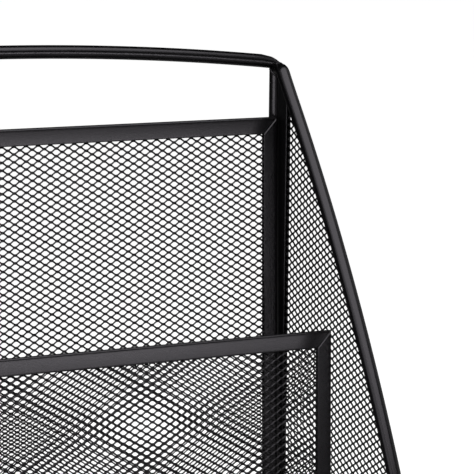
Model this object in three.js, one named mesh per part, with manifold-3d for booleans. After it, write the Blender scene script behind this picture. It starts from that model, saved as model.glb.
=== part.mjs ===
// Tiered magazine file holder: a welded frame of round steel rod, filled with panels of expanded
// metal mesh. Every mesh panel is edged with folded channel hems, mitred where two of them meet.
// Millimetres. +Z is up, X runs across the width, and the front faces -Y.
// The origin is under the middle of the holder, on the surface that it stands on.

import * as THREE from 'three';
import { mergeVertices } from 'three/addons/utils/BufferGeometryUtils.js';
import Module from 'manifold-3d';

const wasm = await Module();
wasm.setup();

// ---- Driving dimensions ----

const ROD_RADIUS = 3;
const ROD_SIDES = 16;
const GAP = 0.3; // between two pieces that are welded or clipped together

const SIDE_X = 155; // middle of each side frame, from the middle of the holder
const BASE_Z = 4.5; // axis of the rods that lie along the floor

// The carry handle: one rod that runs up the left rear corner, over in a shallow arc and down again.
const HANDLE_TOP_Z = 347;
const HANDLE_ARC_RADIUS = 1388;
const HANDLE_BEND_RADIUS = 3.4;
const UPRIGHT_FOOT_Z = 1.5;

// Each side rod bows forwards from the handle's corner to the floor, then runs back along the floor.
const SIDE_ARC_RADIUS = 871.3;
const SIDE_ARC_DEPTH = -674.9; // centre of the bow, behind the rear uprights
const SIDE_ARC_Z = -209.3; // and below the floor
const SIDE_TOP_Z = 335;
const SIDE_TOP_BEND = 3.5;
const SIDE_FRONT_BEND = 9;

// Folded edge channels: along the panels' top and bottom edges, and up their ends
const LEVEL_HEM_WIDTH = 7.8;
const UPRIGHT_HEM_WIDTH = 7.3;
const SIDE_REAR_HEM_WIDTH = 9.3;
const HEM_THICKNESS = 2.5;
const HEM_WALL = 0.65;
const MITRE_GAP = 0.25;
const MESH_THICKNESS = 0.6;
const MESH_IN_HEM = 3.2; // how far the mesh's edge stays back from the outside of the fold

// Flat panels across the holder, that lean back a little. Each depth is at the panel's top edge,
// from the axis of the rear uprights forwards.
const PANEL_HALF_WIDTH = 153.4;
const PANEL_LEAN = THREE.MathUtils.degToRad(1.55);
const BACK_PANEL_TOP_Z = 313.4;
const MIDDLE_PANEL_TOP_Z = 221.85;
const MIDDLE_PANEL_DEPTH = 57.5;
const LOWER_PANEL_TOP_Z = 120;
const LOWER_PANEL_DEPTH = 108.5;
const LIP_TOP_Z = 46;
const LIP_DEPTH = 151;

// Side panels, in the plane of each side rod
const SIDE_PANEL_REAR = 3.4;
const SIDE_PANEL_FOOT_Z = 7.8;

// Rods across the base, under the floor panel
const REAR_CROSS_DEPTH = 14;
const FRONT_CROSS_DEPTH = 147;

// Rubber feet, clipped onto the rods that lie along the floor
const FOOT_HALF_WIDTH = 4.4;
const FOOT_LENGTH = 14;
const FOOT_TOP_Z = 6.7;
const FOOT_EDGE = 0.8;
const FOOT_DEPTHS = { rear: 30, front: 131 };

// ---- Values that follow from them ----

const HALF_PI = Math.PI / 2;
const HANDLE_ARC_Z = HANDLE_TOP_Z - HANDLE_ARC_RADIUS;
const FRONT_BEND_DEPTH = SIDE_ARC_DEPTH
  + Math.sqrt((SIDE_ARC_RADIUS - SIDE_FRONT_BEND) ** 2 - (BASE_Z + SIDE_FRONT_BEND - SIDE_ARC_Z) ** 2);
const TOP_BEND_DEPTH = SIDE_ARC_DEPTH
  + Math.sqrt((SIDE_ARC_RADIUS - SIDE_TOP_BEND) ** 2 - (SIDE_TOP_Z - SIDE_TOP_BEND - SIDE_ARC_Z) ** 2);
const FRONT_BEND_ANGLE = Math.atan2(
  BASE_Z + SIDE_FRONT_BEND - SIDE_ARC_Z, FRONT_BEND_DEPTH - SIDE_ARC_DEPTH);
const TOP_BEND_ANGLE = Math.atan2(
  SIDE_TOP_Z - SIDE_TOP_BEND - SIDE_ARC_Z, TOP_BEND_DEPTH - SIDE_ARC_DEPTH);
const FRONT_REACH = FRONT_BEND_DEPTH + SIDE_FRONT_BEND; // about the foremost point of a rod's axis
const REAR_Y = FRONT_REACH / 2; // axis of the rear uprights, so that the origin is in the middle
const FLOOR_PANEL_Z = BASE_Z + ROD_RADIUS + GAP + HEM_THICKNESS / 2;
const PANEL_FOOT_Z = FLOOR_PANEL_Z + HEM_THICKNESS / 2 + GAP;
const BACK_PANEL_DEPTH = ROD_RADIUS + GAP + HEM_THICKNESS / 2;
const LIP_FOOT_DEPTH = LIP_DEPTH + (LIP_TOP_Z - PANEL_FOOT_Z) * Math.tan(PANEL_LEAN);
const FLOOR_REAR = ROD_RADIUS + GAP;
const FLOOR_FRONT = LIP_FOOT_DEPTH + HEM_THICKNESS / 2;

// ---- Finishes ----

const finish = (color, roughness, metalness) =>
  new THREE.MeshStandardMaterial({ color, roughness, metalness });
const rodFinish = () => finish(0x1b1b1d, 0.42, 0.1);
const hemFinish = () => finish(0x1e1e20, 0.45, 0.1);
const meshFinish = () => finish(0x161617, 0.5, 0.1);
const rubberFinish = () => finish(0x0e0e0e, 0.8, 0);

const holder = new THREE.Group();

function add(parent, name, geometry, material) {
  const mesh = new THREE.Mesh(geometry, material);
  mesh.name = name;
  parent.add(mesh);
  return mesh;
}

// ---- Rods ----

// A path through chosen stations, each a point with the direction of the rod there, so that a bend
// can have many stations and a straight stretch only its two ends.
class RodPath extends THREE.Curve {
  constructor(stations) {
    super();
    this.stations = stations;
  }

  station(u) {
    return this.stations[Math.round(u * (this.stations.length - 1))];
  }

  getPointAt(u, target = new THREE.Vector3()) {
    return target.copy(this.station(u).point);
  }

  getTangentAt(u, target = new THREE.Vector3()) {
    return target.copy(this.station(u).tangent);
  }
}

// Stations along an arc in the X-Z plane. turn is -1 where the angle falls along the rod.
function arcStations(centreX, centreZ, radius, from, to, count) {
  const turn = Math.sign(to - from);
  const stations = [];
  for (let i = 0; i <= count; i += 1) {
    const angle = from + ((to - from) * i) / count;
    stations.push({
      point: new THREE.Vector3(
        centreX + radius * Math.cos(angle), 0, centreZ + radius * Math.sin(angle)),
      tangent: new THREE.Vector3(-turn * Math.sin(angle), 0, turn * Math.cos(angle)),
    });
  }
  return stations;
}

function straightStation(x, z, tangentX, tangentZ) {
  return {
    point: new THREE.Vector3(x, 0, z),
    tangent: new THREE.Vector3(tangentX, 0, tangentZ),
  };
}

function rodGeometry(stations) {
  const section = new THREE.Shape();
  for (let i = 0; i < ROD_SIDES; i += 1) {
    const angle = (2 * Math.PI * i) / ROD_SIDES;
    section[i ? 'lineTo' : 'moveTo'](ROD_RADIUS * Math.cos(angle), ROD_RADIUS * Math.sin(angle));
  }
  return new THREE.ExtrudeGeometry(section, {
    steps: stations.length - 1,
    extrudePath: new RodPath(stations),
    bevelEnabled: false,
  });
}

function handleStations() {
  const bendX = SIDE_X - HANDLE_BEND_RADIUS;
  const bendZ = HANDLE_ARC_Z
    + Math.sqrt((HANDLE_ARC_RADIUS - HANDLE_BEND_RADIUS) ** 2 - bendX ** 2);
  const rise = Math.atan2(bendZ - HANDLE_ARC_Z, bendX);
  return [
    straightStation(-SIDE_X, UPRIGHT_FOOT_Z, 0, 1),
    ...arcStations(-bendX, bendZ, HANDLE_BEND_RADIUS, Math.PI, Math.PI - rise, 8),
    ...arcStations(0, HANDLE_ARC_Z, HANDLE_ARC_RADIUS, Math.PI - rise, rise, 12).slice(1, -1),
    ...arcStations(bendX, bendZ, HANDLE_BEND_RADIUS, rise, 0, 8),
    straightStation(SIDE_X, UPRIGHT_FOOT_Z, 0, -1),
  ];
}

// The side rod's path, with x as the depth in front of the rear uprights. inset moves it inwards,
// towards the panel that the rod frames.
function sideStations(inset) {
  const rear = ROD_RADIUS + GAP;
  return [
    straightStation(rear, SIDE_TOP_Z - inset, 1, 0),
    ...arcStations(TOP_BEND_DEPTH, SIDE_TOP_Z - SIDE_TOP_BEND, SIDE_TOP_BEND - inset,
      HALF_PI, TOP_BEND_ANGLE, 6),
    ...arcStations(SIDE_ARC_DEPTH, SIDE_ARC_Z, SIDE_ARC_RADIUS - inset,
      TOP_BEND_ANGLE, FRONT_BEND_ANGLE, 20).slice(1, -1),
    ...arcStations(FRONT_BEND_DEPTH, BASE_Z + SIDE_FRONT_BEND, SIDE_FRONT_BEND - inset,
      FRONT_BEND_ANGLE, -HALF_PI, 8),
    straightStation(rear, BASE_Z + inset, -1, 0),
  ];
}

function addCrossRod(name, depth) {
  const reach = SIDE_X - ROD_RADIUS - GAP;
  const rod = add(holder, name, rodGeometry([
    straightStation(-reach, 0, 1, 0),
    straightStation(reach, 0, 1, 0),
  ]), rodFinish());
  rod.position.set(0, REAR_Y - depth, BASE_Z);
}

// ---- Hems and mesh ----

// The hem's section: x runs from the outside of the fold inwards, y through its thickness.
function hemSection(width) {
  const outer = HEM_THICKNESS / 2;
  const inner = outer - HEM_WALL;
  const section = new THREE.Shape();
  section.moveTo(width, -outer);
  section.lineTo(width, -inner);
  section.lineTo(outer, -inner);
  section.absarc(outer, 0, inner, -HALF_PI, HALF_PI, true);
  section.lineTo(width, inner);
  section.lineTo(width, outer);
  section.lineTo(outer, outer);
  section.absarc(outer, 0, outer, HALF_PI, -HALF_PI, false);
  return section;
}

// A straight hem in the X-Z plane: its fold starts at (x, z) and runs along the unit direction,
// with the panel to its left. Each end is mitred to meet a hem of another width, or left square
// where that width is 0.
function hemGeometry(x, z, directionX, directionZ, length, width, widthAtStart, widthAtEnd) {
  const geometry = new THREE.ExtrudeGeometry(hemSection(width), {
    depth: length, bevelEnabled: false, curveSegments: 6,
  });
  const position = geometry.getAttribute('position');
  for (let i = 0; i < position.count; i += 1) {
    const inwards = position.getX(i) / width;
    if (position.getZ(i) > length / 2) {
      position.setZ(i, length - (widthAtEnd > 0 ? inwards * widthAtEnd + MITRE_GAP : 0));
    } else {
      position.setZ(i, widthAtStart > 0 ? inwards * widthAtStart + MITRE_GAP : 0);
    }
  }
  const along = new THREE.Vector3(directionX, 0, directionZ);
  const inwards = new THREE.Vector3(-directionZ, 0, directionX);
  const across = new THREE.Vector3().crossVectors(along, inwards);
  geometry.applyMatrix4(new THREE.Matrix4().makeBasis(inwards, across, along).setPosition(x, 0, z));
  return geometry;
}

// A flat plate in the X-Z plane with this outline, thickness through Y.
function plateGeometry(outline, thickness) {
  const geometry = new THREE.ExtrudeGeometry(new THREE.Shape(outline), {
    depth: thickness, bevelEnabled: false,
  });
  geometry.rotateX(HALF_PI);
  geometry.translate(0, thickness / 2, 0);
  return geometry;
}

// A rectangular mesh panel with four hems, in the X-Z plane of its own group.
function addPanel(name, height) {
  const panel = new THREE.Group();
  const half = PANEL_HALF_WIDTH;
  const inset = MESH_IN_HEM;
  add(panel, `${name}_mesh`, plateGeometry([
    new THREE.Vector2(inset - half, inset),
    new THREE.Vector2(half - inset, inset),
    new THREE.Vector2(half - inset, height - inset),
    new THREE.Vector2(inset - half, height - inset),
  ], MESH_THICKNESS), meshFinish());
  const level = LEVEL_HEM_WIDTH;
  const upright = UPRIGHT_HEM_WIDTH;
  const hems = {
    bottom: [-half, 0, 1, 0, 2 * half, level, upright, upright],
    right: [half, 0, 0, 1, height, upright, level, level],
    top: [half, height, -1, 0, 2 * half, level, upright, upright],
    left: [-half, height, 0, -1, height, upright, level, level],
  };
  for (const [edge, run] of Object.entries(hems)) {
    add(panel, `${name}_${edge}_hem`, hemGeometry(...run), hemFinish());
  }
  holder.add(panel);
  return panel;
}

// ---- Cutting one piece by another ----

function toSolid(geometry) {
  const bare = geometry.clone();
  bare.deleteAttribute('normal');
  bare.deleteAttribute('uv');
  const merged = mergeVertices(bare, 1e-4);
  return new wasm.Manifold(new wasm.Mesh({
    numProp: 3,
    vertProperties: new Float32Array(merged.getAttribute('position').array),
    triVerts: new Uint32Array(merged.getIndex().array),
  }));
}

function overlapGeometry(first, second) {
  const mesh = toSolid(first).intersect(toSolid(second)).getMesh();
  const geometry = new THREE.BufferGeometry();
  geometry.setAttribute('position', new THREE.BufferAttribute(mesh.vertProperties, mesh.numProp));
  geometry.setIndex(new THREE.BufferAttribute(mesh.triVerts, 1));
  geometry.computeVertexNormals();
  return geometry;
}

// ---- Side frames ----

// The space inside a side frame that starts at this depth and height, bounded by the side rod.
function sideOutline(rearDepth, footZ) {
  const edge = sideStations(ROD_RADIUS + GAP).map((s) => new THREE.Vector2(s.point.x, s.point.z));
  const bounded = edge.filter((p) => p.x > rearDepth && p.y > footZ);
  const before = edge[edge.indexOf(bounded[0]) - 1];
  const after = edge[edge.indexOf(bounded.at(-1)) + 1];
  const rearShare = (rearDepth - before.x) / (bounded[0].x - before.x);
  const footShare = (footZ - after.y) / (bounded.at(-1).y - after.y);
  return [
    new THREE.Vector2(rearDepth, footZ),
    new THREE.Vector2().lerpVectors(after, bounded.at(-1), footShare),
    ...bounded.reverse(),
    new THREE.Vector2().lerpVectors(before, bounded.at(-1), rearShare),
  ];
}

function addSideFrame(name, x) {
  const side = new THREE.Group();
  side.position.set(x, REAR_Y, 0);
  side.rotation.z = -HALF_PI;
  holder.add(side);

  add(side, `${name}_side_rod`, rodGeometry(sideStations(0)), rodFinish());

  const inside = plateGeometry(
    sideOutline(SIDE_PANEL_REAR, SIDE_PANEL_FOOT_Z), 2 * HEM_THICKNESS);
  const height = SIDE_TOP_Z - SIDE_PANEL_FOOT_Z;
  const rearHem = hemGeometry(
    SIDE_PANEL_REAR, SIDE_TOP_Z, 0, -1, height, SIDE_REAR_HEM_WIDTH, 0, LEVEL_HEM_WIDTH);
  const footHem = hemGeometry(
    SIDE_PANEL_REAR, SIDE_PANEL_FOOT_Z, 1, 0, FRONT_REACH, LEVEL_HEM_WIDTH, SIDE_REAR_HEM_WIDTH, 0);
  add(side, `${name}_side_rear_hem`, overlapGeometry(rearHem, inside), hemFinish());
  add(side, `${name}_side_bottom_hem`, overlapGeometry(footHem, inside), hemFinish());
  add(side, `${name}_side_mesh`, plateGeometry(
    sideOutline(SIDE_PANEL_REAR + MESH_IN_HEM, SIDE_PANEL_FOOT_Z + MESH_IN_HEM), MESH_THICKNESS),
  meshFinish());
}

// ---- Rubber feet ----

// The foot's section, open at the top so that it clips over the rod.
function footGeometry() {
  const bore = ROD_RADIUS + GAP;
  const lip = FOOT_TOP_Z - BASE_Z;
  const lipAngle = Math.asin(lip / bore);
  const section = new THREE.Shape();
  section.moveTo(FOOT_HALF_WIDTH - FOOT_EDGE, -BASE_Z);
  section.lineTo(FOOT_HALF_WIDTH, FOOT_EDGE - BASE_Z);
  section.lineTo(FOOT_HALF_WIDTH, lip - FOOT_EDGE);
  section.lineTo(FOOT_HALF_WIDTH - FOOT_EDGE, lip);
  section.lineTo(bore * Math.cos(lipAngle), lip);
  section.absarc(0, 0, bore, lipAngle, Math.PI - lipAngle, true);
  section.lineTo(FOOT_EDGE - FOOT_HALF_WIDTH, lip);
  section.lineTo(-FOOT_HALF_WIDTH, lip - FOOT_EDGE);
  section.lineTo(-FOOT_HALF_WIDTH, FOOT_EDGE - BASE_Z);
  section.lineTo(FOOT_EDGE - FOOT_HALF_WIDTH, -BASE_Z);
  const geometry = new THREE.ExtrudeGeometry(section, {
    depth: FOOT_LENGTH, bevelEnabled: false, curveSegments: 12,
  });
  geometry.translate(0, 0, -FOOT_LENGTH / 2);
  geometry.rotateX(HALF_PI);
  return geometry;
}

// ---- The holder ----

const handleFrame = add(holder, 'handle_frame', rodGeometry(handleStations()), rodFinish());
handleFrame.position.y = REAR_Y;

for (const [name, x] of [['left', -SIDE_X], ['right', SIDE_X]]) {
  addSideFrame(name, x);
  for (const [end, depth] of Object.entries(FOOT_DEPTHS)) {
    const foot = add(holder, `${name}_${end}_foot`, footGeometry(), rubberFinish());
    foot.position.set(x, REAR_Y - depth, BASE_Z);
  }
}

addCrossRod('rear_cross_rod', REAR_CROSS_DEPTH);
addCrossRod('front_cross_rod', FRONT_CROSS_DEPTH);

const standing = [
  ['back', BACK_PANEL_DEPTH, BACK_PANEL_TOP_Z],
  ['middle', MIDDLE_PANEL_DEPTH, MIDDLE_PANEL_TOP_Z],
  ['lower', LOWER_PANEL_DEPTH, LOWER_PANEL_TOP_Z],
  ['lip', LIP_DEPTH, LIP_TOP_Z],
];
for (const [name, depth, topZ] of standing) {
  const rise = topZ - PANEL_FOOT_Z;
  const panel = addPanel(name, rise / Math.cos(PANEL_LEAN));
  panel.position.set(0, REAR_Y - depth - rise * Math.tan(PANEL_LEAN), PANEL_FOOT_Z);
  panel.rotation.x = -PANEL_LEAN;
}

const floorPanel = addPanel('floor', FLOOR_FRONT - FLOOR_REAR);
floorPanel.position.set(0, REAR_Y - FLOOR_FRONT, FLOOR_PANEL_Z);
floorPanel.rotation.x = -HALF_PI;

export default holder;
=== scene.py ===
"""Visual model of a tiered magazine file holder in black powder-coated steel.

Everything is in metres, in the CAD frame: X across, -Y to the front, Z up. Rods, hems and mesh
sheets are rebuilt finely where the CAD nodes are. The feet are the CAD's own with rounded edges. A
weld bead is added at each end of the side rods.
"""

import math

import bpy
from mathutils import Matrix, Vector


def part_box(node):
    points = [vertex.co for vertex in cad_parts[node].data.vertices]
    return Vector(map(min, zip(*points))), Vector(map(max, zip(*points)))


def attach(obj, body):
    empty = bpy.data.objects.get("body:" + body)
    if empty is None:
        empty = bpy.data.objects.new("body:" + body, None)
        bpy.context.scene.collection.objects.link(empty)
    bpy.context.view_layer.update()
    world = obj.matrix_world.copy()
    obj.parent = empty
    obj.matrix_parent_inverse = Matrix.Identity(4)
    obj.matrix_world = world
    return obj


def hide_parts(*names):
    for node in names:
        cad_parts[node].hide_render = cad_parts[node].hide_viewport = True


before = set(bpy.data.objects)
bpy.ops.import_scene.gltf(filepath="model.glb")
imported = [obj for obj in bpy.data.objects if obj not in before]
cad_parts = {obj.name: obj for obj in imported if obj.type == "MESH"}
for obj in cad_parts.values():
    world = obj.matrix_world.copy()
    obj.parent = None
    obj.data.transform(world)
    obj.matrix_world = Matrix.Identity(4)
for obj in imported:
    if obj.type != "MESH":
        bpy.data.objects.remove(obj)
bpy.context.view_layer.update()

BODY = "root"
MM = 0.001
X_AXIS = Vector((1, 0, 0))
Y_AXIS = Vector((0, 1, 0))
Z_AXIS = Vector((0, 0, 1))

# ---- Sizes that shape the visible surfaces ----

ROD_RADIUS = 3.06 * MM
ROD_SIDES = 32
ROD_END_ROUND = 0.35 * MM
# The rounded rim of a rod's end, as shares of ROD_END_ROUND: distance along the rod, and inset
ROD_END_RIM = ((0.0, 1.0), (0.29, 0.29), (1.0, 0.0))
# A rod that is welded onto another one stops this far short of the other's axis
WELDED_END = 0.4 * ROD_RADIUS

# A weld bead is a flattened ring that follows most of the saddle where two rods meet
WELD_RADIUS = 0.8 * MM
WELD_FLATNESS = 0.6
WELD_SADDLE = 0.92
WELD_SIDES = 10
WELD_STEPS = 40

HANDLE_ARC_RADIUS = 1388 * MM
HANDLE_BEND_RADIUS = 3.4 * MM
# The handle's outer corners are ground to this radius, from this far inside the upright's axis
CORNER_OUTER_RADIUS = 14 * MM
CORNER_REACH = 7.2 * MM
# The side rod's bow, and its centre's place: depth in front of the uprights, and height
SIDE_ARC_RADIUS = 871.3 * MM
SIDE_ARC_DEPTH = -674.9 * MM
SIDE_ARC_Z = -209.3 * MM
SIDE_TOP_BEND = 3.2 * MM
SIDE_FRONT_BEND = 9 * MM
# The side rod's shoulder is pressed forwards this far, fading out over this height
SHOULDER_PRESS = 0.55 * MM
SHOULDER_LENGTH = 14 * MM

HEM_WIDTH = 7.8 * MM
UPRIGHT_HEM_WIDTH = 7.3 * MM
SIDE_HEM_WIDTH = 9.3 * MM
HEM_THICKNESS = 2.5 * MM
HEM_WALL = 0.65 * MM
HEM_CROWN = 0.045 * MM
# Steps in a hem's section: along a face, round the fold outside and inside, and round each lip
HEM_FACE_STEPS = 10
HEM_FOLD_STEPS = 16
HEM_INNER_STEPS = 4
HEM_LIP_STEPS = 6
# Over HEM_END_RUN, each end of a hem is pinched by HEM_END_DROP, so a mitre is a shallow groove
HEM_END_RUN = 0.6 * MM
HEM_END_DROP = 0.38 * MM
MITRE_GAP = 0.04 * MM

FOOT_BEVEL = 0.35 * MM
# Edges that turn by more than this many degrees are bevelled
FOOT_BEVEL_FROM = 35

# Faces that meet at less than this many degrees are shaded as one surface
ROD_SMOOTH = 50
HEM_SMOOTH = 33
WELD_SMOOTH = 80

NEARLY_ZERO = 1e-12

# Expanded metal: the long way of a diamond lies across the panel, the short way up it.
PANEL_DIAMOND = (5.88 * MM, 3.47 * MM)
SIDE_DIAMOND = (5.8 * MM, 3.36 * MM)
MESH_BORDER = 1.2 * MM
# The side sheets end this far inside the outer line of the rod that they are welded to
MESH_ROD_INSET = 0.2 * MM
# Sheets are cut from wider ones. The middle one's diamonds start this far to the right and up.
SHEET_SHIFT = {"middle": (1.5 * MM, 0.27 * MM)}
# Half sizes of the opening in a diamond, and of its flat tips, as shares of the half diamond. The
# panels in front of the back one are a little more open.
OPENING = (0.64, 0.68)
FRONT_OPENING = (0.7, 0.74)
TIP_LONG = 0.1
TIP_SHORT = 0.17
# The strands of the panels are turned so that their faces look a little upwards, those of the
# sides hardly at all. A strand has its thickness, this angle, and how far the turn moves its edges
# out of the sheet's plane.
PANEL_STRAND = (0.4 * MM, math.radians(30), 0.17 * MM)
SIDE_STRAND = (0.5 * MM, math.radians(2), 0.01 * MM)

PANELS = ("back", "middle", "lower", "lip", "floor")


# ---- Places, from the CAD frame ----

def corners(*nodes):
    """Lowest and highest corner of these nodes together."""
    boxes = [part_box(node) for node in nodes]
    low = Vector([min(box[0][i] for box in boxes) for i in range(3)])
    high = Vector([max(box[1][i] for box in boxes) for i in range(3)])
    return low, high


HANDLE_LOW, HANDLE_HIGH = corners("handle_frame")
SIDE_LOW, SIDE_HIGH = corners("right_side_rod")
CAD_ROD_RADIUS = (HANDLE_HIGH.y - HANDLE_LOW.y) / 2
SIDE_X = HANDLE_HIGH.x - CAD_ROD_RADIUS
REAR_Y = (HANDLE_LOW.y + HANDLE_HIGH.y) / 2
HANDLE_TOP_Z = HANDLE_HIGH.z - CAD_ROD_RADIUS
BASE_Z = SIDE_LOW.z + CAD_ROD_RADIUS
SIDE_TOP_Z = SIDE_HIGH.z - CAD_ROD_RADIUS
SIDES = {"left": -SIDE_X, "right": SIDE_X}

# Centres of the handle's arc and of the bends at its ends
HANDLE_ARC_Z = HANDLE_TOP_Z - HANDLE_ARC_RADIUS
HANDLE_BEND_X = SIDE_X - HANDLE_BEND_RADIUS
HANDLE_BEND_REACH = HANDLE_ARC_RADIUS - HANDLE_BEND_RADIUS
HANDLE_BEND_Z = HANDLE_ARC_Z + math.sqrt(HANDLE_BEND_REACH ** 2 - HANDLE_BEND_X ** 2)


# ---- Making objects ----

def link_mesh(name, vertices, faces, smooth_angle=None):
    """A new object with this mesh, smooth up to this angle in degrees or else flat."""
    mesh = bpy.data.meshes.new(name)
    mesh.from_pydata([tuple(v) for v in vertices], [], faces)
    mesh.update()
    piece = bpy.data.objects.new(name, mesh)
    bpy.context.scene.collection.objects.link(piece)
    if smooth_angle is not None:
        mesh.shade_smooth()
        mesh.set_sharp_from_angle(angle=math.radians(smooth_angle))
    return piece


def link_solid(name, vertices, faces, smooth_angle=None):
    """The same for a closed mesh, with its faces turned outwards if they point in."""
    piece = link_mesh(name, vertices, faces, smooth_angle)
    volume = 0.0
    for polygon in piece.data.polygons:
        at = [piece.data.vertices[i].co for i in polygon.vertices]
        for b, c in zip(at[1:], at[2:]):
            volume += at[0].dot(b.cross(c))
    if volume < 0:
        piece.data.flip_normals()
    return piece


def tube_faces(rings, sides, closed=False):
    """Quads between neighbouring rings of vertices, with a cap at each end unless it's closed."""
    faces = [(r * sides + i, r * sides + (i + 1) % sides,
              (r + 1) % rings * sides + (i + 1) % sides, (r + 1) % rings * sides + i)
             for r in range(rings if closed else rings - 1) for i in range(sides)]
    if not closed:
        last = (rings - 1) * sides
        faces += [tuple(reversed(range(sides))), tuple(range(last, last + sides))]
    return faces


def register(piece, slot, material, *nodes):
    """Puts a finished piece on the body, in the place of these CAD nodes."""
    piece.data.materials.append(material)
    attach(piece, BODY)
    if nodes:
        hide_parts(*nodes)


# ---- Materials ----

# A noise stays between these values nearly everywhere
NOISE_SPAN = (0.3, 0.7)


def new_material(name):
    material = bpy.data.materials.new(name)
    material.use_nodes = True
    tree = material.node_tree
    return material, tree, tree.nodes["Principled BSDF"]


def noise(tree, coordinates, scale, detail, roughness=0.5):
    node = tree.nodes.new("ShaderNodeTexNoise")
    node.inputs["Scale"].default_value = scale
    node.inputs["Detail"].default_value = detail
    node.inputs["Roughness"].default_value = roughness
    tree.links.new(coordinates, node.inputs["Vector"])
    return node.outputs["Fac"]


def ramp(tree, value, low, high):
    """Maps a noise value to a number or a colour between low and high."""
    node = tree.nodes.new("ShaderNodeValToRGB")
    ends = [(x, x, x, 1) if isinstance(x, float) else (*x, 1) for x in (low, high)]
    for element, at, colour in zip(node.color_ramp.elements, NOISE_SPAN, ends):
        element.position = at
        element.color = colour
    tree.links.new(value, node.inputs["Fac"])
    return node.outputs["Color"]


def bump(tree, height, distance, strength, below=None):
    node = tree.nodes.new("ShaderNodeBump")
    node.inputs["Distance"].default_value = distance
    node.inputs["Strength"].default_value = strength
    tree.links.new(height, node.inputs["Height"])
    if below is not None:
        tree.links.new(below, node.inputs["Normal"])
    return node.outputs["Normal"]


def powder_coat(name, dark, light, rough, peel=0.35):
    """Satin black powder coat: orange peel about a millimetre across, over a finer grain."""
    material, tree, shader = new_material(name)
    where = tree.nodes.new("ShaderNodeTexCoord").outputs["Object"]
    drift = noise(tree, where, scale=38, detail=4.0)
    grain = noise(tree, where, scale=5200, detail=2.0)
    orange_peel = noise(tree, where, scale=1100, detail=3.0)
    tree.links.new(ramp(tree, drift, dark, light), shader.inputs["Base Color"])
    tree.links.new(ramp(tree, grain, *rough), shader.inputs["Roughness"])
    fine = bump(tree, grain, distance=0.006 * MM, strength=0.5)
    relief = bump(tree, orange_peel, distance=0.02 * MM, strength=peel, below=fine)
    tree.links.new(relief, shader.inputs["Normal"])
    shader.inputs["Specular Tint"].default_value = (0.97, 0.92, 1.0, 1)
    return material


def rubber(name):
    """Matt moulded rubber with a fine stipple."""
    material, tree, shader = new_material(name)
    where = tree.nodes.new("ShaderNodeTexCoord").outputs["Object"]
    stipple = noise(tree, where, scale=2600, detail=2.0, roughness=0.7)
    dust = noise(tree, where, scale=240, detail=5.0)
    colour = ramp(tree, dust, low=(0.012, 0.012, 0.013), high=(0.022, 0.022, 0.022))
    tree.links.new(colour, shader.inputs["Base Color"])
    tree.links.new(ramp(tree, stipple, low=0.68, high=0.86), shader.inputs["Roughness"])
    relief = bump(tree, stipple, distance=0.03 * MM, strength=0.5)
    tree.links.new(relief, shader.inputs["Normal"])
    return material


ROD_COAT = powder_coat("rod_powder_coat", dark=(0.001, 0.001, 0.0011),
                       light=(0.0016, 0.0016, 0.0018), rough=(0.22, 0.3))
HEM_COAT = powder_coat("hem_powder_coat", dark=(0.001, 0.001, 0.0012),
                       light=(0.0017, 0.0017, 0.0019), rough=(0.26, 0.34))
MESH_COAT = powder_coat("mesh_powder_coat", dark=(0.001, 0.001, 0.001),
                        light=(0.0016, 0.0016, 0.0017), rough=(0.3, 0.4), peel=0.2)
RUBBER = rubber("foot_rubber")


# ---- Rods ----

def arc(centre, radius, start, end, count):
    """Points and directions along an arc, in a rod's own plane."""
    turn = math.copysign(1, end - start)
    for i in range(count + 1):
        angle = start + (end - start) * i / count
        c, s = math.cos(angle), math.sin(angle)
        yield (centre[0] + radius * c, centre[1] + radius * s), (-turn * s, turn * c)


def shifted(station, distance):
    """A station moved along its own direction."""
    (x, z), (dx, dz) = station
    return (x + dx * distance, z + dz * distance), (dx, dz)


def rod(name, stations, to_space):
    """A round rod along stations, each a point and a direction in a plane, with rounded ends."""
    first, last = stations[0], stations[-1]
    rim = [(along * ROD_END_ROUND, ROD_RADIUS - inset * ROD_END_ROUND)
           for along, inset in ROD_END_RIM]
    rings = [(*shifted(first, along), size) for along, size in rim]
    rings += [(*station, ROD_RADIUS) for station in stations[1:-1]]
    rings += [(*shifted(last, -along), size) for along, size in reversed(rim)]
    vertices = []
    for point, direction, size in rings:
        for i in range(ROD_SIDES):
            angle = 2 * math.pi * i / ROD_SIDES
            across = size * math.cos(angle)
            vertices.append(to_space(
                point[0] - direction[1] * across, point[1] + direction[0] * across,
                size * math.sin(angle)))
    return link_solid(name, vertices, tube_faces(len(rings), ROD_SIDES), ROD_SMOOTH)


def side_plane(x):
    """The plane of a side frame: depth in front of the rear uprights, height, and width."""
    return lambda depth, z, across: (x + across, REAR_Y - press_shoulder(depth, z), z)


def handle_stations():
    """The handle frame: up the left upright, over the handle and down the right upright."""
    bend_x, bend_z, foot_z = HANDLE_BEND_X, HANDLE_BEND_Z, HANDLE_LOW.z
    rise = math.atan2(bend_z - HANDLE_ARC_Z, bend_x)
    handle = arc((0, HANDLE_ARC_Z), HANDLE_ARC_RADIUS, math.pi - rise, rise, count=60)
    return [
        ((-SIDE_X, foot_z), (0, 1)),
        *arc((-bend_x, bend_z), HANDLE_BEND_RADIUS, math.pi, math.pi - rise, count=14),
        *list(handle)[1:-1],
        *arc((bend_x, bend_z), HANDLE_BEND_RADIUS, rise, 0, count=14),
        ((SIDE_X, foot_z), (0, -1)),
    ]


def bend_centre(bend_radius, bend_z):
    """Depth of the centre of a bend that touches the inside of the side rod's bow."""
    reach = SIDE_ARC_RADIUS - bend_radius
    return SIDE_ARC_DEPTH + math.sqrt(reach ** 2 - (bend_z - SIDE_ARC_Z) ** 2)


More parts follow.
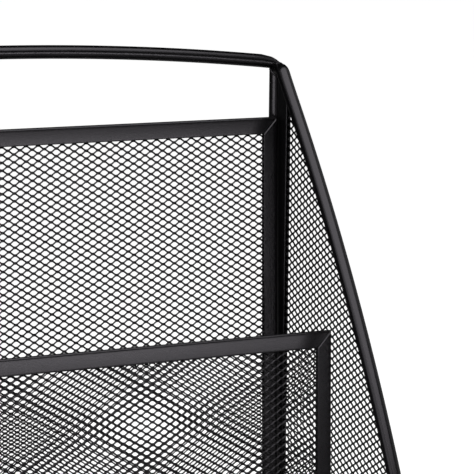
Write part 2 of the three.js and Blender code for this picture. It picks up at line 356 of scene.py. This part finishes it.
TOP_BEND_Z = SIDE_TOP_Z - SIDE_TOP_BEND
TOP_BEND_DEPTH = bend_centre(SIDE_TOP_BEND, TOP_BEND_Z)
TOP_BEND_ANGLE = math.atan2(TOP_BEND_Z - SIDE_ARC_Z, TOP_BEND_DEPTH - SIDE_ARC_DEPTH)
FRONT_BEND_Z = BASE_Z + SIDE_FRONT_BEND
FRONT_BEND_DEPTH = bend_centre(SIDE_FRONT_BEND, FRONT_BEND_Z)
FRONT_BEND_ANGLE = math.atan2(FRONT_BEND_Z - SIDE_ARC_Z, FRONT_BEND_DEPTH - SIDE_ARC_DEPTH)


def press_shoulder(depth, z):
    """Depth of a point of a side rod once its shoulder, beside the weld, is pressed out a little."""
    drop = min(1.0, max(0.0, (SIDE_TOP_Z - z) / SHOULDER_LENGTH))
    run_in = min(1.0, max(0.0, depth / TOP_BEND_DEPTH))
    return depth + SHOULDER_PRESS * run_in * (1 - drop) ** 2


def side_stations():
    """The side rod, with both ends run into the upright that they are welded to."""
    top, front = (TOP_BEND_DEPTH, TOP_BEND_Z), (FRONT_BEND_DEPTH, FRONT_BEND_Z)
    bow = arc((SIDE_ARC_DEPTH, SIDE_ARC_Z), SIDE_ARC_RADIUS, TOP_BEND_ANGLE, FRONT_BEND_ANGLE, count=90)
    return [
        ((WELDED_END, SIDE_TOP_Z), (1, 0)),
        *arc(top, SIDE_TOP_BEND, math.pi / 2, TOP_BEND_ANGLE, count=12),
        *list(bow)[1:-1],
        *arc(front, SIDE_FRONT_BEND, FRONT_BEND_ANGLE, -math.pi / 2, count=20),
        ((WELDED_END, BASE_Z), (-1, 0)),
    ]


def ease_corner(x, z):
    """Height of a point of the handle frame once its outer corners are ground to a wider curve."""
    bend_z = HANDLE_BEND_Z
    out = abs(x) - SIDE_X + CORNER_REACH
    if out <= 0 or z <= bend_z:
        return z
    over_arc = HANDLE_ARC_Z + math.sqrt((HANDLE_ARC_RADIUS + ROD_RADIUS) ** 2 - x ** 2)
    outer = over_arc
    if abs(x) >= HANDLE_BEND_X:
        reach = HANDLE_BEND_RADIUS + ROD_RADIUS
        outer = bend_z + math.sqrt(max(reach ** 2 - (abs(x) - HANDLE_BEND_X) ** 2, NEARLY_ZERO))
    eased = over_arc - out ** 2 / (2 * CORNER_OUTER_RADIUS)
    return bend_z + (z - bend_z) * min(1.0, (eased - bend_z) / (outer - bend_z))


def handle_space(x, z, across):
    """The plane of the handle frame: place across the holder, height, and depth in the rod."""
    return x, REAR_Y + across, ease_corner(x, z)


def make_rods():
    register(rod("handle_frame_rod", handle_stations(), handle_space),
             "rod_black", ROD_COAT, "handle_frame")
    for side, x in SIDES.items():
        register(rod(f"{side}_side_bowed_rod", side_stations(), side_plane(x)),
                 "rod_black", ROD_COAT, f"{side}_side_rod")
    reach = SIDE_X - WELDED_END
    for node in ("rear_cross_rod", "front_cross_rod"):
        low, high = corners(node)
        y = (low.y + high.y) / 2
        stations = [((x, BASE_Z), (1, 0)) for x in (-reach, -reach / 2, reach / 2, reach)]
        register(rod(f"{node}_round", stations, lambda x, z, across, y=y: (x, y + across, z)),
                 "rod_black", ROD_COAT, node)


# ---- Hems ----

def hem_section(hem_width):
    """Outline of a folded hem: distance in from the fold, and height over the mesh."""
    outer = HEM_THICKNESS / 2
    inner = outer - HEM_WALL
    edge = HEM_WALL / 2
    points = []
    for i in range(HEM_FACE_STEPS + 1):
        share = i / HEM_FACE_STEPS
        inwards = hem_width - edge + (outer - hem_width + edge) * share
        crown = HEM_CROWN * (2 * share - 1) ** 2
        points.append((inwards, outer - crown))
    fold = outer - HEM_CROWN
    for i in range(1, HEM_FOLD_STEPS):
        angle = math.pi / 2 + math.pi * i / HEM_FOLD_STEPS
        points.append((outer + outer * math.cos(angle), fold * math.sin(angle)))
    for inwards, height in reversed(points[:HEM_FACE_STEPS + 1]):
        points.append((inwards, -height))
    lip = outer - HEM_CROWN - edge
    for side in (-1, 1):
        turn = [(hem_width - edge + edge * math.sin(a), side * (lip + edge * math.cos(a)))
                for a in (math.pi * k / HEM_LIP_STEPS for k in range(1, HEM_LIP_STEPS))]
        inside = [(hem_width - edge, side * (lip - edge)), (outer, side * inner)]
        for i in range(1, HEM_INNER_STEPS):
            angle = math.pi / 2 * i / HEM_INNER_STEPS
            inside.append((outer - inner * math.sin(angle), side * inner * math.cos(angle)))
        run = turn + inside
        points += run if side < 0 else list(reversed(run))
        if side < 0:
            points.append((outer - inner, 0))
    return points


def hem(name, start, along, across, length, cut_start, cut_end, hem_width=HEM_WIDTH):
    """A hem whose fold runs from start along a unit direction, with the panel to its left.

    across is the unit direction through the panel's thickness. Each cut is how far that end
    moves along the hem for each unit in from the fold: 1 and -1 are a mitred start and end. The
    third ring at each end keeps the shading of the pinch off the straight part.
    """
    inwards = across.cross(along)
    section = hem_section(hem_width)
    full = HEM_THICKNESS / 2
    ends = [(MITRE_GAP + HEM_END_RUN * k, drop) for k, drop in enumerate((HEM_END_DROP, 0.0, 0.0))]
    rings = [(at, cut_start, drop) for at, drop in ends]
    rings += [(length - at, cut_end, drop) for at, drop in reversed(ends)]
    vertices = []
    for at, cut, drop in rings:
        for depth, height in section:
            depth += drop * max(0.0, 1 - depth / full)
            height *= 1 - drop / full
            vertices.append(start + inwards * depth + across * height + along * (at + cut * depth))
    return link_solid(name, vertices, tube_faces(len(rings), len(section)), HEM_SMOOTH)


def panel_frame(name):
    """A flat panel's lower left corner, its directions right, up and rearwards, and its size."""
    bottom_low, bottom_high = corners(f"{name}_bottom_hem")
    top_low, top_high = corners(f"{name}_top_hem")
    foot = (bottom_low + bottom_high) / 2
    rise = (top_low + top_high) / 2 - foot
    up = rise.normalized()
    origin = foot - up * HEM_WIDTH / 2
    origin.x = bottom_low.x
    width = bottom_high.x - bottom_low.x
    return origin, X_AXIS, up, up.cross(X_AXIS), width, rise.length + HEM_WIDTH


def make_panel_hems(name):
    """The four hems round a flat panel, mitred where the level and the upright ones meet."""
    origin, right, up, normal, width, height = panel_frame(name)
    level, upright = HEM_WIDTH, UPRIGHT_HEM_WIDTH
    runs = {
        "bottom": (origin, right, width, level, upright / level),
        "right": (origin + right * width, up, height, upright, level / upright),
        "top": (origin + right * width + up * height, -right, width, level, upright / level),
        "left": (origin + up * height, -up, height, upright, level / upright),
    }
    for edge, (start, along, length, hem_width, cut) in runs.items():
        piece = hem(f"{name}_{edge}_folded_hem", start, along, -normal, length, cut, -cut, hem_width)
        register(piece, "hem_black", HEM_COAT, f"{name}_{edge}_hem")


def bow_z(depth):
    """Height of the axis of a side rod's bow at this depth."""
    return SIDE_ARC_Z + math.sqrt(SIDE_ARC_RADIUS ** 2 - (depth - SIDE_ARC_DEPTH) ** 2)


def bow_depth(z):
    """Depth of the axis of a side rod's bow at this height."""
    return SIDE_ARC_DEPTH + math.sqrt(SIDE_ARC_RADIUS ** 2 - (z - SIDE_ARC_Z) ** 2)


def make_side_hems(side):
    """The rear and bottom hems of a side panel, each run into the rod at its far end."""
    low, high = corners(f"{side}_side_rear_hem")
    corner = Vector(((low.x + high.x) / 2, high.y, low.z))
    fold, lip = REAR_Y - high.y, REAR_Y - high.y + SIDE_HEM_WIDTH
    top = Vector((corner.x, corner.y, bow_z(fold)))
    slope = (bow_z(fold) - bow_z(lip)) / SIDE_HEM_WIDTH
    cut = HEM_WIDTH / SIDE_HEM_WIDTH
    piece = hem(f"{side}_side_rear_folded_hem", top, -Z_AXIS, -X_AXIS, top.z - corner.z, slope, -cut,
                SIDE_HEM_WIDTH)
    register(piece, "hem_black", HEM_COAT, f"{side}_side_rear_hem")
    length = bow_depth(corner.z + HEM_WIDTH) - fold - HEM_THICKNESS
    piece = hem(f"{side}_side_bottom_folded_hem", corner, -Y_AXIS, -X_AXIS, length, 1 / cut, 0)
    register(piece, "hem_black", HEM_COAT, f"{side}_side_bottom_hem")


# ---- Expanded metal ----

def expanded_sheet(name, axes, diamond, opening_share, strand, inside):
    """Diamond mesh of every whole diamond that inside accepts.

    The axes are the sheet's lower corner and its directions right, up and away from the viewer.
    A diamond is a rhombus with an eight-sided opening. Its centre and four corners lie on a grid
    of half diamonds.
    """
    origin, right, up, normal = axes
    half_long, half_short = diamond[0] / 2, diamond[1] / 2
    cells = inside(half_long, half_short)
    open_long, open_short = opening_share
    opening = []
    for sx, sz in ((1, 1), (-1, 1), (-1, -1), (1, -1)):
        tips = [(sx * open_long * half_long, sz * TIP_LONG * half_short),
                (sx * TIP_SHORT * half_long, sz * open_short * half_short)]
        opening += tips if sx * sz > 0 else list(reversed(tips))
    thickness, tilt, edge_shift = strand
    through = (normal * math.cos(tilt) - up * math.sin(tilt)) * thickness / 2
    faces_across = (-through, through)
    vertices, faces, corner_at, rims = [], [], {}, {}

    def corner(i, j):
        if (i, j) not in corner_at:
            at = origin + right * (i * half_long) + up * (j * half_short)
            corner_at[i, j] = len(vertices)
            vertices.extend(at + shift for shift in faces_across)
        return corner_at[i, j]

    for i, j in cells:
        ends = [corner(i + 1, j), corner(i, j + 1), corner(i - 1, j), corner(i, j - 1)]
        centre = origin + right * (i * half_long) + up * (j * half_short)
        first = len(vertices)
        for x, z in opening:
            at = centre + right * x + up * z - normal * math.copysign(edge_shift, z)
            vertices.extend(at + shift for shift in faces_across)
        ring = [first + 2 * k for k in range(8)]
        for k in range(4):
            here, following = ends[k], ends[(k + 1) % 4]
            before, start, finish = ring[2 * k - 1], ring[2 * k], ring[2 * k + 1]
            faces.append((here, following, finish, start))
            faces.append((here, start, before))
            faces.append((start + 1, finish + 1, following + 1, here + 1))
            faces.append((before + 1, start + 1, here + 1))
            rim = (min(here, following), max(here, following))
            rims[rim] = None if rim in rims else (here, following)
        for k in range(8):
            a, b = ring[k], ring[(k + 1) % 8]
            faces.append((a, b, b + 1, a + 1))
    for rim in rims.values():
        if rim is not None:
            a, b = rim
            faces.append((b, a, a + 1, b + 1))
    return link_solid(name, vertices, faces)


def rectangle_cells(width, height, shift):
    """Chooses the whole diamonds inside a rectangle, less the border that the hems hide.

    The grid of half diamonds starts at this shift from the rectangle's corner.
    """
    def inside(half_long, half_short):
        columns = int((width - MESH_BORDER - shift[0]) / half_long)
        rows = int((height - MESH_BORDER - shift[1]) / half_short)
        first = math.ceil((MESH_BORDER - shift[0]) / half_long)
        lowest = math.ceil((MESH_BORDER - shift[1]) / half_short)
        return [(i, j) for j in range(lowest + 1, rows) for i in range(first + 1, columns)
                if (i + j) % 2 == 0]
    return inside


def make_panel_mesh(name):
    origin, right, up, normal, width, height = panel_frame(name)
    opening = OPENING if name == "back" else FRONT_OPENING
    shift = SHEET_SHIFT.get(name, (0.0, 0.0))
    start = origin + right * shift[0] + up * shift[1]
    piece = expanded_sheet(f"{name}_expanded_mesh", (start, right, up, normal), PANEL_DIAMOND,
                           opening, PANEL_STRAND, rectangle_cells(width, height, shift))
    register(piece, "mesh_black", MESH_COAT, f"{name}_mesh")


def in_side_rod(depth, z):
    """Whether a point in a side frame's plane is inside the outer line of its rod."""
    margin = ROD_RADIUS - MESH_ROD_INSET
    if z < FRONT_BEND_Z and depth > FRONT_BEND_DEPTH:
        return math.hypot(depth - FRONT_BEND_DEPTH, z - FRONT_BEND_Z) < SIDE_FRONT_BEND + margin
    return math.hypot(depth - SIDE_ARC_DEPTH, z - SIDE_ARC_Z) < SIDE_ARC_RADIUS + margin


def side_cells(rear, foot_z):
    """Chooses the whole diamonds between the hems and the outer line of the bowed rod."""
    def inside(half_long, half_short):
        cells = []
        rows = int(SIDE_TOP_Z / half_short)
        columns = int((FRONT_BEND_DEPTH + SIDE_FRONT_BEND + ROD_RADIUS) / half_long)
        for j in range(rows):
            for i in range(columns):
                ends = ((i + 1, j), (i, j + 1), (i - 1, j), (i, j - 1))
                if (i + j) % 2 or (i - 1) * half_long < MESH_BORDER:
                    continue
                if (j - 1) * half_short < MESH_BORDER:
                    continue
                if all(in_side_rod(rear + a * half_long, foot_z + b * half_short) for a, b in ends):
                    cells.append((i, j))
        return cells
    return inside


def make_side_mesh(side):
    low, high = corners(f"{side}_side_rear_hem")
    x = (low.x + high.x) / 2
    origin = Vector((x, high.y, low.z))
    outwards = X_AXIS if x > 0 else -X_AXIS
    piece = expanded_sheet(f"{side}_side_expanded_mesh", (origin, -Y_AXIS, Z_AXIS, outwards),
                           SIDE_DIAMOND, OPENING, SIDE_STRAND,
                           side_cells(REAR_Y - high.y, low.z))
    register(piece, "mesh_black", MESH_COAT, f"{side}_side_mesh")


# ---- Welds and feet ----

def weld_ring(name, centre):
    """A bead round the end of a level rod that meets an upright of the same size from the front."""
    axis = -Y_AXIS
    level = axis.cross(Z_AXIS)
    vertices = []
    for i in range(WELD_STEPS):
        angle = 2 * math.pi * i / WELD_STEPS
        out = Z_AXIS * math.cos(angle) + level * math.sin(angle)
        saddle = ROD_RADIUS * abs(math.cos(angle)) * WELD_SADDLE
        middle = centre + out * ROD_RADIUS + axis * saddle
        for k in range(WELD_SIDES):
            turn = 2 * math.pi * k / WELD_SIDES
            vertices.append(middle + out * WELD_RADIUS * math.cos(turn) * WELD_FLATNESS
                            + axis * WELD_RADIUS * math.sin(turn))
    faces = tube_faces(WELD_STEPS, WELD_SIDES, closed=True)
    register(link_solid(name, vertices, faces, WELD_SMOOTH), "rod_black", ROD_COAT)


def make_welds():
    for side, x in SIDES.items():
        for place, z in (("top", SIDE_TOP_Z), ("base", BASE_Z)):
            weld_ring(f"{side}_{place}_weld", Vector((x, REAR_Y, z)))


def make_foot(node):
    """The CAD foot's clip with its edges rounded."""
    source = bpy.data.objects[node]
    piece = bpy.data.objects.new(f"{node}_rounded", source.data.copy())
    bpy.context.scene.collection.objects.link(piece)
    piece.data.materials.clear()
    bevel = piece.modifiers.new("edges", "BEVEL")
    bevel.width = FOOT_BEVEL
    bevel.segments = 3
    bevel.limit_method = "ANGLE"
    bevel.angle_limit = math.radians(FOOT_BEVEL_FROM)
    piece.data.shade_smooth()
    register(piece, "foot_rubber", RUBBER, node)


# ---- Studio ----

CAMERA_YAW = math.radians(28.35)
CAMERA_PITCH = math.radians(8.61)
CAMERA_ROLL = math.radians(0.65)
CAMERA_LENS = 210.99
# The camera stands CAMERA_DISTANCE from the point it aims at. That is left of and below the
# holder's upper right corner, in the camera's own directions.
CAMERA_DISTANCE = 1.29
AIM_LEFT = 0.01813
AIM_DOWN = 0.08205
CORNER_ABOVE_SIDE_TOP = 4.1 * MM

ROOM_COLOUR = (0.9, 0.95, 1.0, 1)
ROOM_STRENGTH = 0.012

FLOOR_HALF_SIZE = 40.0
FLOOR_GREY = 0.33
# To the camera the floor glows too, less near the holder and plain white further out. From is in
# metres from its middle, and To is the strength.
FLOOR_GLOW = {"From Min": 0.3, "From Max": 0.75, "To Min": 0.62, "To Max": 1.0}

OVERHEAD_PLACE = Vector((-0.5, -1.05, 1.65))


def make_camera():
    """Looks at the upper right corner of the holder from the left, in front and a little above."""
    yaw, pitch = CAMERA_YAW, CAMERA_PITCH
    forwards = Vector((math.sin(yaw) * math.cos(pitch), math.cos(yaw) * math.cos(pitch),
                       -math.sin(pitch)))
    level = Vector((math.cos(yaw), -math.sin(yaw), 0))
    upright = level.cross(forwards)
    right = level * math.cos(CAMERA_ROLL) + upright * math.sin(CAMERA_ROLL)
    up = right.cross(forwards)
    corner = Vector((SIDE_X, REAR_Y, SIDE_TOP_Z + CORNER_ABOVE_SIDE_TOP))
    aim = corner - right * AIM_LEFT - up * AIM_DOWN
    data = bpy.data.cameras.new("camera")
    data.lens = CAMERA_LENS
    data.clip_start = 0.05
    data.clip_end = 60
    camera = bpy.data.objects.new("camera", data)
    bpy.context.scene.collection.objects.link(camera)
    at = aim - forwards * CAMERA_DISTANCE
    camera.matrix_world = Matrix((
        (right.x, up.x, -forwards.x, at.x), (right.y, up.y, -forwards.y, at.y),
        (right.z, up.z, -forwards.z, at.z), (0, 0, 0, 1)))
    bpy.context.scene.camera = camera


def softbox(name, place, target, width, depth, radiance):
    """An area light at a place, facing a target."""
    data = bpy.data.lights.new(name, "AREA")
    data.shape = "RECTANGLE"
    data.size = width
    data.size_y = depth
    data.energy = radiance * math.pi * width * depth
    light = bpy.data.objects.new(name, data)
    bpy.context.scene.collection.objects.link(light)
    light.location = place
    light.rotation_mode = "QUATERNION"
    light.rotation_quaternion = (place - target).to_track_quat("Z", "Y")


def standing_softbox(name, azimuth, height, distance, width, depth, radiance):
    """A softbox stood upright round the holder. Azimuth 0 is in front of it, 90 to its right."""
    turn = math.radians(azimuth)
    place = Vector((math.sin(turn) * distance, -math.cos(turn) * distance, height))
    softbox(name, place, Vector((0, 0, height)), width, depth, radiance)


def make_world():
    """White to the camera, and a dim, even room to everything else."""
    world = bpy.data.worlds.new("studio")
    bpy.context.scene.world = world
    world.use_nodes = True
    tree = world.node_tree
    tree.nodes.clear()
    out = tree.nodes.new("ShaderNodeOutputWorld")
    mix = tree.nodes.new("ShaderNodeMixShader")
    room = tree.nodes.new("ShaderNodeBackground")
    room.inputs["Color"].default_value = ROOM_COLOUR
    room.inputs["Strength"].default_value = ROOM_STRENGTH
    white = tree.nodes.new("ShaderNodeBackground")
    white.inputs["Color"].default_value = (1, 1, 1, 1)
    white.inputs["Strength"].default_value = 1.0
    path = tree.nodes.new("ShaderNodeLightPath")
    tree.links.new(path.outputs["Is Camera Ray"], mix.inputs["Fac"])
    tree.links.new(room.outputs["Background"], mix.inputs[1])
    tree.links.new(white.outputs["Background"], mix.inputs[2])
    tree.links.new(mix.outputs["Shader"], out.inputs["Surface"])


def make_floor():
    """A pale table top. Near the holder it takes soft shadow; further out it is plain white."""
    size = FLOOR_HALF_SIZE
    piece = link_mesh("floor_plane", [(-size, -size, 0), (size, -size, 0), (size, size, 0),
                                      (-size, size, 0)], [(0, 1, 2, 3)])
    material = bpy.data.materials.new("pale_floor")
    material.use_nodes = True
    tree = material.node_tree
    tree.nodes.clear()
    out = tree.nodes.new("ShaderNodeOutputMaterial")
    add = tree.nodes.new("ShaderNodeAddShader")
    diffuse = tree.nodes.new("ShaderNodeBsdfDiffuse")
    diffuse.inputs["Color"].default_value = (FLOOR_GREY, FLOOR_GREY, FLOOR_GREY, 1)
    glow = tree.nodes.new("ShaderNodeEmission")
    where = tree.nodes.new("ShaderNodeTexCoord")
    length = tree.nodes.new("ShaderNodeVectorMath")
    length.operation = "LENGTH"
    tree.links.new(where.outputs["Object"], length.inputs[0])
    fade = tree.nodes.new("ShaderNodeMapRange")
    fade.interpolation_type = "SMOOTHSTEP"
    for socket, value in FLOOR_GLOW.items():
        fade.inputs[socket].default_value = value
    tree.links.new(length.outputs["Value"], fade.inputs["Value"])
    seen = tree.nodes.new("ShaderNodeMath")
    seen.operation = "MULTIPLY"
    path = tree.nodes.new("ShaderNodeLightPath")
    tree.links.new(path.outputs["Is Camera Ray"], seen.inputs[0])
    tree.links.new(fade.outputs["Result"], seen.inputs[1])
    tree.links.new(seen.outputs["Value"], glow.inputs["Strength"])
    tree.links.new(diffuse.outputs["BSDF"], add.inputs[0])
    tree.links.new(glow.outputs["Emission"], add.inputs[1])
    tree.links.new(add.outputs["Shader"], out.inputs["Surface"])
    piece.data.materials.append(material)


def make_studio():
    bpy.context.scene.view_settings.view_transform = "Standard"
    make_world()
    make_floor()
    standing_softbox("front_strip", azimuth=21, height=0.105, distance=1.2,
                     width=0.63, depth=0.2, radiance=5.0)
    standing_softbox("left_strip", azimuth=-63, height=0.11, distance=1.3,
                     width=1.15, depth=0.2, radiance=3.7)
    standing_softbox("left_softbox", azimuth=-80, height=0.75, distance=1.3,
                     width=1.0, depth=0.9, radiance=1.1)
    standing_softbox("right_fill", azimuth=85, height=1.0, distance=1.6,
                     width=2.0, depth=1.8, radiance=0.35)
    softbox("overhead_softbox", OVERHEAD_PLACE, OVERHEAD_PLACE - Z_AXIS,
            width=3.1, depth=2.0, radiance=2.3)


# ---- Building everything ----

make_camera()
make_rods()
for panel in PANELS:
    make_panel_hems(panel)
    make_panel_mesh(panel)
for side_name in SIDES:
    make_side_hems(side_name)
    make_side_mesh(side_name)
    for end_name in ("front", "rear"):
        make_foot(f"{side_name}_{end_name}_foot")
make_welds()
make_studio()
